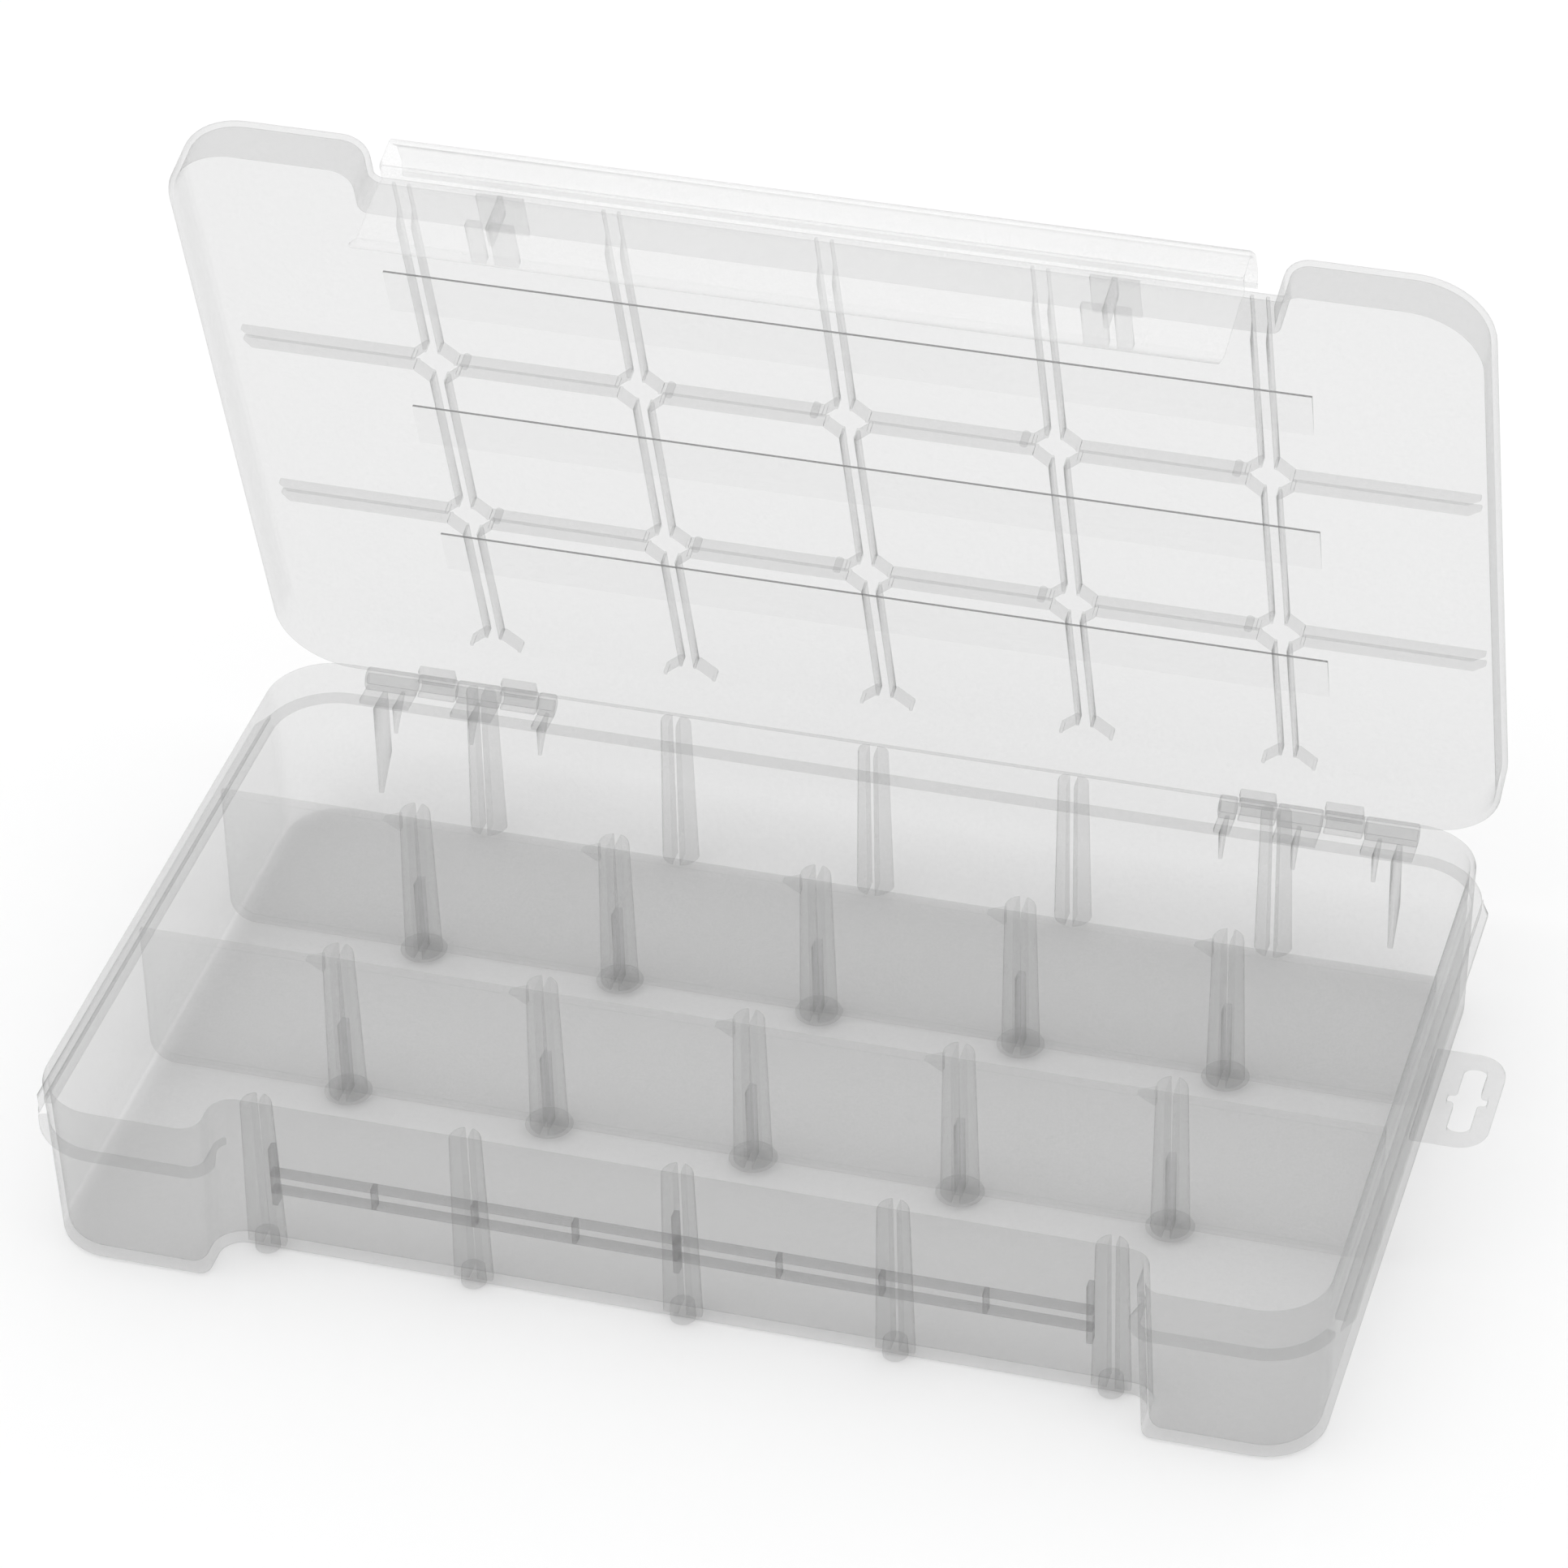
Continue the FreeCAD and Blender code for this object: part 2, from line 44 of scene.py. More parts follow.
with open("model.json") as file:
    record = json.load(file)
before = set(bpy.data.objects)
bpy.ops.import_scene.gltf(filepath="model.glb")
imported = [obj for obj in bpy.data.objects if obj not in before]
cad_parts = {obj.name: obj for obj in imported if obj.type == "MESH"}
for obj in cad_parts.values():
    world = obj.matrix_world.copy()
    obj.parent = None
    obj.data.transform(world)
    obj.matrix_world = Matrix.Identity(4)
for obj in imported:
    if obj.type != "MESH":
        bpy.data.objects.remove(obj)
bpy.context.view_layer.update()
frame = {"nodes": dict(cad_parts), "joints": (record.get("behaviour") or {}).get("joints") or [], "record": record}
MM = 0.001
JOINTS = {joint["name"]: joint for joint in frame["joints"]}
HINGE = Vector(JOINTS["lid_hinge"]["pos_m"])
LID_OPEN = math.radians(-JOINTS["lid_hinge"]["range_deg"][0])
POST_FOOT, POST_TIP = 1.12, 0.9  # radii of a post's foot and tip, as shares of its nominal radius
BARREL = 3.3  # radius of the hinge blocks and clips, in mm
LATCH_AXIS = (-93.2, 51.3)  # y and z of the latch's bar with the lid shut, in mm
LATCH_FRONT = LATCH_AXIS[0] - 17.4  # y of the flap's upper face, in mm
LATCH_LEAF = LATCH_FRONT + 3.8  # y of the flap's lower face, in mm


def node_span(name, axis):
    """Lowest and highest coordinate of a CAD node along one axis, in mm."""
    low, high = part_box(name)
    return low[axis] / MM, high[axis] / MM


def shut_span(name, axis):
    """The same for a lid node, with the lid turned shut."""
    turn = Matrix.Translation(HINGE) @ Matrix.Rotation(LID_OPEN, 4, "X") @ Matrix.Translation(-HINGE)
    values = [(turn @ v.co)[axis] / MM for v in frame["nodes"][name].data.vertices]
    return min(values), max(values)


# ---------------------------------------------------------------- sizes and colours


class TubSizes(bpy.types.PropertyGroup):
    """Sizes of the tub moulding, in mm."""

    wall: FloatProperty(name="Wall", description="Thickness of the walls and floor, in mm", default=1.6)
    draft: FloatProperty(name="Draft", description="Lean of the walls over their height, in mm", default=1.5)
    corner: FloatProperty(name="Corner", description="Radius of the four main corners, in mm", default=18.0)
    tower_corner: FloatProperty(name="Tower corner", description="Radius at the recess, in mm", default=4.5)
    return_x: FloatProperty(name="Return", description="Half the recess's width, in mm", default=123.5)
    recess: FloatProperty(name="Recess", description="Depth of the recess, in mm", default=15.0)
    fillet: FloatProperty(
        name="Floor fillet", description="Radius where walls meet floor, in mm", default=3.2
    )
    pitch: FloatProperty(name="Post pitch", description="Distance between the posts, in mm", default=57.0)
    post: FloatProperty(name="Post radius", description="Radius of the slotted posts, in mm", default=4.7)
    slot: FloatProperty(name="Slot", description="Width of the slots in the posts, in mm", default=2.2)


class LidSizes(bpy.types.PropertyGroup):
    """Sizes of the lid moulding, in mm."""

    out: FloatProperty(
        name="Overhang", description="How far the lid stands outside the tub, in mm", default=3.0
    )
    wall: FloatProperty(name="Wall", description="Thickness of the panel and skirt, in mm", default=1.6)
    edge: FloatProperty(name="Edge", description="Radius between panel and skirt, in mm", default=3.0)
    draft: FloatProperty(name="Draft", description="Lean of the skirt over its height, in mm", default=0.2)


class PlasticLook(bpy.types.PropertyGroup):
    """Colours of the clear polypropylene, as sRGB hex."""

    shell: StringProperty(name="Shell", description="Light left after one face of a wall", default="F7F7F7")
    frosted: StringProperty(
        name="Frosted", description="Light left after one textured face", default="FAFAFA"
    )
    ribs: StringProperty(
        name="Ribs", description="Light left after one face of a post or rib", default="F8F8F8"
    )
    milk: StringProperty(name="Milk", description="Colour of the faint milkiness", default="CDCDCD")
    glossy: StringProperty(name="Glossy", description="Light left after one polished face", default="FDFDFD")
    # Painted sheen: a near-white haze colour on the polished flap that stands in for its gloss.
    painted_sheen: StringProperty(
        name="Gleam", description="Colour that a polished face throws back", default="FAFAFA"
    )
    ledges: StringProperty(
        name="Ledges", description="Light left after one face of the rail", default="EDEDED"
    )
    # Painted shade: the darker light-passed colour of the step ridges' risers and right ends.
    riser: StringProperty(
        name="Riser", description="Light left through a step ridge's riser", default="A8A8A8"
    )
    edge: StringProperty(name="Edge", description="Colour of a wall seen edge on", default="8E8F8F")


def sizes():
    """The tub's sizes and the lid's."""
    scene = bpy.context.scene
    return scene.tackle_tub, scene.tackle_lid


# ---------------------------------------------------------------- materials


def srgb(code):
    """Linear colour from an sRGB hex code."""
    values = [int(code[i : i + 2], 16) / 255 for i in (0, 2, 4)]
    return tuple(v / 12.92 if v <= 0.04045 else ((v + 0.055) / 1.055) ** 2.4 for v in values) + (1.0,)


def add_node(tree, kind, settings=None, links=None):
    """Adds a node, sets its properties and inputs, and links its inputs from other sockets."""
    node = tree.nodes.new(kind)
    for key, value in (settings or {}).items():
        if isinstance(key, int) or key in node.inputs:
            node.inputs[key].default_value = value
        else:
            setattr(node, key, value)
    for key, socket in (links or {}).items():
        tree.links.new(socket, node.inputs[key])
    return node


def clear_polypropylene(name, tint, milk_colour, haze, edge, ripple_mm, grain_mm):
    """Injection-moulded clear polypropylene: thin walls that pass nearly all light, a little milky,
    darker where a face turns edge on, with a soft gloss and the faint flow ripple of moulding."""
    material = bpy.data.materials.new(name)
    material.use_nodes = True
    tree = material.node_tree
    tree.nodes.clear()
    where = add_node(tree, "ShaderNodeTexCoord").outputs["Object"]
    flow = add_node(tree, "ShaderNodeMapping", {"Scale": (1.0, 0.35, 1.0)}, {"Vector": where})
    ripple = add_node(
        tree,
        "ShaderNodeTexNoise",
        {"Scale": 1000 / ripple_mm, "Detail": 3.0, "Roughness": 0.55},
        {"Vector": flow.outputs["Vector"]},
    )
    grain = add_node(tree, "ShaderNodeTexNoise", {"Scale": 1000 / grain_mm, "Detail": 2.0}, {"Vector": where})
    bump = add_node(
        tree, "ShaderNodeBump", {"Strength": 0.12, "Distance": 0.0002}, {"Height": ripple.outputs["Fac"]}
    )
    facing = add_node(tree, "ShaderNodeLayerWeight", {"Blend": 0.5}, {"Normal": bump.outputs["Normal"]})
    milk = add_node(
        tree,
        "ShaderNodeMapRange",
        {"From Min": 0.3, "From Max": 0.7, "To Min": haze * 0.7, "To Max": haze * 1.3},
        {"Value": grain.outputs["Fac"]},
    )
    turned = add_node(tree, "ShaderNodeMath", {"operation": "POWER", 1: 6.0}, {0: facing.outputs["Facing"]})
    edge_on = add_node(tree, "ShaderNodeMath", {"operation": "MULTIPLY", 1: edge}, {0: turned.outputs[0]})
    cover = add_node(
        tree,
        "ShaderNodeMath",
        {"operation": "ADD", "use_clamp": True},
        {0: milk.outputs["Result"], 1: edge_on.outputs[0]},
    )
    look = bpy.context.scene.tackle_look
    colour = add_node(
        tree,
        "ShaderNodeMixRGB",
        {"Color1": srgb(milk_colour), "Color2": srgb(look.edge)},
        {"Fac": turned.outputs[0]},
    )
    body = add_node(
        tree,
        "ShaderNodeBsdfPrincipled",
        {"Roughness": 0.16, "IOR": 1.49},
        {"Base Color": colour.outputs["Color"], "Normal": bump.outputs["Normal"]},
    )
    through = add_node(tree, "ShaderNodeBsdfTransparent", {"Color": srgb(tint)})
    mixed = add_node(
        tree,
        "ShaderNodeMixShader",
        None,
        {0: cover.outputs[0], 1: through.outputs[0], 2: body.outputs[0]},
    )
    add_node(tree, "ShaderNodeOutputMaterial", None, {"Surface": mixed.outputs[0]})
    return material


def plastic(body, kind):
    """The material of one kind of surface on a body, made once."""
    look = bpy.context.scene.tackle_look
    # The grain is drawn coarser than a real mould texture, so that it still reads from a distance.
    kinds = {  # light passed, milkiness and its share, cover edge on, ripple and grain in mm
        "shell": (look.shell, look.milk, 0.035, 0.95, 22.0, 1.2),
        "frosted": (look.frosted, look.milk, 0.07, 0.6, 14.0, 0.5),
        "ribs": (look.ribs, look.milk, 0.05, 0.9, 9.0, 0.8),
        # the polished flap's haze takes the painted sheen colour at a larger share, standing in for its gloss
        "glossy": (look.glossy, look.painted_sheen, 0.18, 0.6, 60.0, 0.5),
        "ledges": (look.ledges, look.milk, 0.10, 0.9, 9.0, 0.8),
        "step": (look.glossy, look.milk, 0.0, 0.1, 22.0, 1.2),
        # painted shade on the step ridges' risers and right ends, with the edge colour as its haze
        "riser": (look.riser, look.edge, 0.10, 0.2, 22.0, 1.2),
    }
    name = f"moulded clear polypropylene, {body} {kind}"
    return bpy.data.materials.get(name) or clear_polypropylene(name, *kinds[kind])


# ---------------------------------------------------------------- building pieces


def finish_piece(bm, name, body, nodes, kind="shell", shut=False, smooth=0.6):
    """Makes the bmesh, in mm, a piece that rides on a body and stands for CAD nodes."""
    bmesh.ops.recalc_face_normals(bm, faces=bm.faces)
    place = Matrix.Diagonal((MM, MM, MM, 1.0))
    if shut:
        turn = Matrix.Rotation(-LID_OPEN, 4, "X")
        place = Matrix.Translation(HINGE) @ turn @ Matrix.Translation(-HINGE) @ place
    bmesh.ops.transform(bm, matrix=place, verts=bm.verts)
    mesh = bpy.data.meshes.new(name)
    bm.to_mesh(mesh)
    bm.free()
    mesh.shade_smooth()
    mesh.set_sharp_from_angle(angle=smooth)
    piece = bpy.data.objects.new(name, mesh)
    bpy.context.scene.collection.objects.link(piece)
    piece.data.materials.append(plastic(body, kind))
    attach(piece, body)
    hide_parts(*nodes)
    return piece


def plan_face(bm, out, z, least=0.8):
    """Face in the shape of the plan, moved outward by out, its corners rounded."""
    tub, _ = sizes()
    tightest = 0.8
    x, y = node_span("tub_end_walls", 0)[1] + out, node_span("tub_back_wall", 1)[1] + out
    back = -y + tub.recess
    side = tub.return_x - out
    points = [(x, y), (-x, y), (-x, -y), (x, -y), (-side, -y), (side, -y), (-side, back), (side, back)]
    before = set(bm.faces)
    verts = [bm.verts.new((px, py, z)) for px, py in points]
    ring = [verts[i] for i in (0, 1, 2, 4, 6, 7, 5, 3)]
    bm.faces.new(ring)
    rounds = ((verts[:4], tub.corner + out, 14), (verts[4:6], max(tub.tower_corner + out, least), 7))
    rounds += ((verts[6:], max(tub.tower_corner - out, tightest), 7),)
    for corners, radius, segments in rounds:
        bmesh.ops.bevel(
            bm, geom=corners, offset=radius, segments=segments, affect="VERTICES", profile=0.5, material=-1
        )
    bm.normal_update()
    return next(face for face in bm.faces if face not in before)


def sink(bm, face, steps):
    """Carries a face along its normal through (inward, onward) steps and leaves walls behind it."""
    for inward, onward in steps:
        bmesh.ops.inset_region(
            bm, faces=[face], thickness=inward, depth=onward, use_even_offset=True, use_boundary=True
        )


def turn_in(radius, count):
    """Steps round a quarter circle that start along the wall and end along the floor."""
    angles = [math.pi / 2 * i / count for i in range(count + 1)]
    arc = [(radius * (1 - math.cos(a)), radius * math.sin(a)) for a in angles]
    return [(b[0] - a[0], b[1] - a[1]) for a, b in zip(arc, arc[1:])]


def rim_loop(face):
    """A face's vertices in order, from the right end of its back edge towards the left."""
    verts = list(face.verts)
    start = max(verts, key=lambda v: (round(v.co.y, 2), v.co.x))
    at = verts.index(start)
    order = verts[at:] + verts[:at]
    return order if order[1].co.x < order[-1].co.x else order[:1] + order[:0:-1]


def bridge(bm, outer, inner, keep=lambda a, b: True):
    """Faces between two loops of matching vertices, for the pairs of neighbours to keep."""
    for i, a in enumerate(outer):
        after = (i + 1) % len(outer)
        if keep(a.co, outer[after].co):
            bm.faces.new((a, outer[after], inner[after], inner[i]))


def cup(mouth_z, out, wall, outer_steps, inner_steps, upward):
    """A thin-walled cup in the shape of the plan with a rounded lip at mouth_z."""
    bm = bmesh.new()
    loops = []
    for offset, steps in ((out, outer_steps), (out - wall, inner_steps)):
        turned_in = sum(step[0] for step in steps)
        face = plan_face(bm, offset, mouth_z, turned_in + 0.7)
        if (face.normal.z > 0) != upward:
            face.normal_flip()
        loops.append(rim_loop(face))
        sink(bm, face, steps)
    bridge(bm, *loops)
    bmesh.ops.recalc_face_normals(bm, faces=bm.faces)
    edges = set(zip(loops[0], loops[0][1:] + loops[0][:1])) | set(zip(loops[1], loops[1][1:] + loops[1][:1]))
    lip = [bm.edges.get(pair) for pair in edges]
    bmesh.ops.bevel(bm, geom=lip, offset=wall * 0.42, segments=3, affect="EDGES", profile=0.5, material=-1)
    return bm


def slab(bm, x, y, z, round_off=0.25, segments=2):
    """A bevelled block between the (low, high) limits along each axis."""
    made = bmesh.ops.create_cube(bm, size=1.0)["verts"]
    size = Matrix.Diagonal((x[1] - x[0], y[1] - y[0], z[1] - z[0], 1.0))
    middle = Matrix.Translation(((x[0] + x[1]) / 2, (y[0] + y[1]) / 2, (z[0] + z[1]) / 2))
    bmesh.ops.transform(bm, matrix=middle @ size, verts=made)
    soften(bm, {edge for vert in made for edge in vert.link_edges}, round_off, segments)


def soften(bm, edges, offset, segments=2):
    """Rounds the given edges."""
    bmesh.ops.bevel(
        bm, geom=list(edges), offset=offset, segments=segments, affect="EDGES", profile=0.5, material=-1
    )


def pour(part, bm):
    """Moves what one bmesh holds into another."""
    mesh = bpy.data.meshes.new("part")
    part.to_mesh(mesh)
    part.free()
    bm.from_mesh(mesh)
    bpy.data.meshes.remove(mesh)


def soften_sharp(bm, offset, segments=2, sharper_than=1.0):
    """Bevels every closed edge that turns by more than this angle, in radians."""
    sharp = [edge for edge in bm.edges if edge.is_manifold and edge.calc_face_angle(0) > sharper_than]
    soften(bm, sharp, offset, segments)


def prism(bm, points, axis, low, high, round_off=0.25, rounded=(), radius=1.0):
    """A bevelled prism of a closed outline, with points in the plane across the axis in XYZ order."""
    order = {"X": lambda a, b: (low, a, b), "Y": lambda a, b: (a, low, b), "Z": lambda a, b: (a, b, low)}
    along = {"X": (1, 0, 0), "Y": (0, 1, 0), "Z": (0, 0, 1)}[axis]
    part = bmesh.new()
    verts = [part.verts.new(order[axis](a, b)) for a, b in points]
    part.faces.new(verts)
    if rounded:
        corners = [verts[i] for i in rounded]
        bmesh.ops.bevel(
            part, geom=corners, offset=radius, segments=8, affect="VERTICES", profile=0.5, material=-1
        )
    grown = bmesh.ops.extrude_face_region(part, geom=part.faces[:])["geom"]
    new = [item for item in grown if isinstance(item, bmesh.types.BMVert)]
    bmesh.ops.translate(part, vec=Vector(along) * (high - low), verts=new)
    bmesh.ops.recalc_face_normals(part, faces=part.faces)
    if round_off:
        soften_sharp(part, round_off)
    pour(part, bm)


def rod(bm, radius, low, high, at, axis="X", segments=24, top_radius=None):
    """A closed round bar along an axis, its centre line through at, in the plane across the axis."""
    made = bmesh.ops.create_cone(
        bm,
        cap_ends=True,
        segments=segments,
        radius1=radius,
        radius2=radius if top_radius is None else top_radius,
        depth=high - low,
    )["verts"]
    if axis == "X":
        turn = Matrix.Translation(((low + high) / 2, at[0], at[1])) @ Matrix.Rotation(math.pi / 2, 4, "Y")
    else:
        turn = Matrix.Translation((at[0], at[1], (low + high) / 2))
    bmesh.ops.transform(bm, matrix=turn, verts=made)
    return made


# ---------------------------------------------------------------- the tub


def stations():
    """The x of the five columns of posts."""
    tub, _ = sizes()
    return [i * tub.pitch for i in range(-2, 3)]


def make_tub_moulding():
    """Floor, walls and towers in one, leaning in towards the floor."""
    tub, _ = sizes()
    rim = node_span("tub_back_wall", 2)[1]
    foot, straight = 1.4, 8  # radius under the floor's edge, steps up the wall
    down = rim - foot
    outer = [(tub.draft * down / rim / straight, down / straight)] * straight + turn_in(foot, 4)
    inside_down = rim - tub.wall - tub.fillet
    inner = [(tub.draft * inside_down / rim / straight, inside_down / straight)] * straight
    bm = cup(rim, 0.0, tub.wall, outer, inner + turn_in(tub.fillet, 6), upward=False)
    walls = ("tub_recess_wall", "tower_walls", "tub_end_walls", "tub_back_wall")
    return finish_piece(bm, "tub_moulding", "tub", ("tub_floor",) + walls)


def half_post(bm, x, y, side, low, high, cut_y=None):
    """Half a slotted post: a drafted round with a flat slot face and a domed top."""
    tub, _ = sizes()
    dome = 1.6
    part = bmesh.new()
    rod(part, tub.post * POST_FOOT, low, high, (x, y), "Z", 28, tub.post * POST_TIP)
    top = [edge for edge in part.edges if all(v.co.z > high - 0.01 for v in edge.verts)]
    soften(part, top, dome, 4)
    cuts = [((x + side * tub.slot / 2, y, 0), (-side, 0, 0))]
    if cut_y:
        cuts.append(((x, cut_y[0], 0), (0, cut_y[1], 0)))
    for point, normal in cuts:
        shapes = part.verts[:] + part.edges[:] + part.faces[:]
        cut = bmesh.ops.bisect_plane(part, geom=shapes, plane_co=point, plane_no=normal, clear_outer=True)
        rim = [item for item in cut["geom_cut"] if isinstance(item, bmesh.types.BMEdge)]
        bmesh.ops.holes_fill(part, edges=rim)
    pour(part, bm)


def make_partition(node):
    """A fixed wall with a beaded edge, slotted posts, and a thicker fill low in each slot."""
    tub, _ = sizes()
    low_x, high_x = node_span(node, 0)
    middle = sum(node_span(node, 1)) / 2
    top, thick = 46.0, 1.4
    bead, bead_step, bead_high = 1.6, 0.5, 0.35
    fill_top, fill_half, fill_reach = 25.0, 1.05, 2.1
    root, disc_high, disc_foot, disc_top = 0.2, 0.5, 1.3, 0.9
    flare_out, flare_in, flare_half = 4.5, 0.6, 1.1
    bm = bmesh.new()
    outline = [(low_x, tub.wall), (high_x, tub.wall), (high_x, top), (low_x, top)]
    prism(bm, outline, "Y", middle - thick / 2, middle + thick / 2, 0.0, (0, 1), tub.fillet * 2.2)
    for face in [f for f in bm.faces if abs(f.normal.y) > 0.9]:
        bmesh.ops.inset_region(bm, faces=[face], thickness=bead, depth=0.0, use_even_offset=True)
        bmesh.ops.inset_region(bm, faces=[face], thickness=bead_step, depth=-bead_high, use_even_offset=True)
    for x in stations():
        for side in (-1, 1):
            half_post(bm, x, middle, side, tub.wall - root, node_span(node + "_posts", 2)[1])
        across = (middle - fill_reach, middle + fill_reach)
        slab(bm, (x - fill_half, x + fill_half), across, (tub.wall, fill_top), 0.15)
        foot = tub.post * POST_FOOT
        low, high = tub.wall - root, tub.wall + disc_high
        rod(bm, foot + disc_foot, low, high, (x, middle), "Z", 32, foot + disc_top)
        inner = x - tub.post + flare_in
        flare = [(x - tub.post - flare_out, top - 1.0), (inner, top - 4.2), (inner, top + 1.2)]
        prism(bm, flare, "Y", middle - flare_half, middle + flare_half, 0.2)
    return finish_piece(bm, node + "_moulding", "tub", (node, node + "_posts"), "frosted")


def make_wall_posts(node, inward):
    """Slotted posts on the inside of a long wall. The front ones have a small pad outside."""
    tub, _ = sizes()
    pad_foot, pad_tip, pad_low, pad_high, pad_in = 3.4, 3.2, 0.2, 5.0, 2.3
    low, high = node_span(node, 2)
    y0, y1 = node_span(node, 1)
    wall_side = y0 if inward > 0 else y1
    centre = (y1 - tub.post) if inward > 0 else (y0 + tub.post)
    bm = bmesh.new()
    for x in stations():
        for side in (-1, 1):
            half_post(bm, x, centre, side, low, high, (wall_side, -inward))
        if inward > 0:
            outside = wall_side - tub.wall
            rod(bm, pad_foot, pad_low, pad_high, (x, outside + pad_in), "Z", 24, pad_tip)
    return finish_piece(bm, node + "_moulding", "tub", (node,), "ribs")


def make_flange():
    """The ledge the lid stops on, which fades to a swept point on each side of the recess."""
    tub, _ = sizes()
    low, high = node_span("back_flange", 2)
    out = node_span("back_flange", 1)[1] - node_span("tub_back_wall", 1)[1]
    inside, point = 0.8, 0.3  # reach into the wall, and out of it at a swept end
    bm = bmesh.new()
    faces = [plan_face(bm, offset, high) for offset in (out, -inside)]
    outer, inner = [rim_loop(face) for face in faces]
    bmesh.ops.delete(bm, geom=faces, context="FACES_ONLY")
    end = node_span("tower_walls", 1)[0] + tub.recess - tub.tower_corner
    return_x = tub.return_x - tub.tower_corner

    def carries(a, b):
        """True behind the middle and round each tower as far as its swept end."""
        back, beside = max(a.y, b.y), min(abs(a.x), abs(b.x))
        return back > 0 or beside > return_x and back < end + out

    bridge(bm, outer, inner, carries)
    for a, b in zip(outer, inner):
        if abs(a.co.x) < tub.return_x and a.co.y < 0 and a.co.y > end - 1:
            a.co = b.co + (a.co - b.co) * ((inside + point) / (inside + out))
    loose = [v for v in bm.verts if not v.link_faces]
    bmesh.ops.delete(bm, geom=loose, context="VERTS")
    grown = bmesh.ops.extrude_face_region(bm, geom=bm.faces[:])["geom"]
    moved = [item for item in grown if isinstance(item, bmesh.types.BMVert)]
    bmesh.ops.translate(bm, vec=(0, 0, low - high), verts=moved)
    bmesh.ops.recalc_face_normals(bm, faces=bm.faces)
    soften_sharp(bm, 0.3)
    lo, hi = node_span("end_ledges", 0)
    half = node_span("end_ledges", 1)[1]
    taper = ((2.6, 3), (2, 1), (0, -3))  # in from the outer face, and on past the ledge's end
    clear = 0.05
    for side, reach in ((1, hi), (-1, -lo)):
        near = [(side * (reach - across), -half - along) for across, along in taper]
        far = [(side * (reach - across), half + along) for across, along in reversed(taper)]
        prism(bm, near + far, "Z", low + clear, high - clear, 0.3)
    return finish_piece(bm, "lid_stop_flange", "tub", ("tower_flanges", "end_ledges", "back_flange"))


def make_hang_tab():
    """A thin rounded tab with a peg slot that swells to an eye in its middle."""
    low, high = node_span("hang_tab", 2)
    x0, x1 = node_span("hang_tab", 0)
    y0, y1 = node_span("hang_tab", 1)
    mid, hole_x = (y0 + y1) / 2, x0 + 10.1
    root, corner = x0 - 1.5, 8.0
    bm = bmesh.new()
    outer = [bm.verts.new(p + (high,)) for p in ((root, y0), (x1, y0), (x1, y1), (root, y1))]
    for a, b in zip(outer, outer[1:] + outer[:1]):
        bm.edges.new((a, b))
    bm.faces.new(outer)
    bmesh.ops.bevel(
        bm, geom=outer[1:3], offset=corner, segments=9, affect="VERTICES", profile=0.5, material=-1
    )
    half, long, eye, eye_half = 3.1, 14.0, 5.3, 2.2
    quarter = [(half, long), (half, eye_half), (eye, eye_half)]
    points = []
    for sx, sy, run in ((1, 1, 1), (1, -1, -1), (-1, -1, 1), (-1, 1, -1)):
        points += [(sx * px, sy * py) for px, py in quarter[::run]]
    hole = [bm.verts.new((hole_x + px, mid + py, high)) for px, py in points]
    bm.faces.new(hole)
    ends = [v for v in hole if abs(abs(v.co.y - mid) - long) < 0.01]
    waist = [v for v in hole if v not in ends]
    for group, radius in ((ends, 2.6), (waist, 1.0)):
        bmesh.ops.bevel(
            bm, geom=group, offset=radius, segments=5, affect="VERTICES", profile=0.5, material=-1
        )
    bmesh.ops.delete(bm, geom=bm.faces[:], context="FACES_ONLY")
    bmesh.ops.triangle_fill(bm, use_beauty=True, edges=bm.edges[:], normal=(0, 0, 1))
    middles = {f: f.calc_center_median() for f in bm.faces}
    near_x, near_y = half - 0.3, long - 1
    doomed = [f for f, at in middles.items() if abs(at.x - hole_x) < near_x and abs(at.y - mid) < near_y]
    least_area = 60  # in square mm, about a third of the hole
    if sum(f.calc_area() for f in doomed) > least_area:
        bmesh.ops.delete(bm, geom=doomed, context="FACES")
    bmesh.ops.dissolve_limit(bm, angle_limit=0.02, verts=bm.verts[:], edges=bm.edges[:])
    bmesh.ops.recalc_face_normals(bm, faces=bm.faces)
    bmesh.ops.solidify(bm, geom=bm.faces[:], thickness=high - low)
    soften_sharp(bm, 0.35)
    return finish_piece(bm, "hang_tab_moulding", "tub", ("hang_tab",))


def make_latch_rail():
    """Two ledges with webs and taller stops that the latch hooks."""
    half = node_span("latch_rail", 0)[1]
    front, back = node_span("latch_rail", 1)
    low, high = node_span("latch_rail", 2)
    ledges, thick = (22.4, 28.0), 1.2
    web_pitch, web_half, web_back = 27.3, 0.6, 0.2
    stop = 1.6
    bm = bmesh.new()
    for z in ledges:
        slab(bm, (-half, half), (front, back), (z, z + thick), 0.3, 3)
    for i in range(-3, 4):
        x = i * web_pitch
        height = (ledges[0], ledges[1] + thick)
        slab(bm, (x - web_half, x + web_half), (front + web_back, back), height, 0.2)
    for x in (-half, -stop / 2, half - stop):
        slab(bm, (x, x + stop), (front, back), (low, high), 0.3, 3)
    return finish_piece(bm, "latch_rail_moulding", "tub", ("latch_rail",), "ledges")


def hinge_line():
    """The y and z of the lid's hinge, in mm."""
    return HINGE.y / MM, HINGE.z / MM


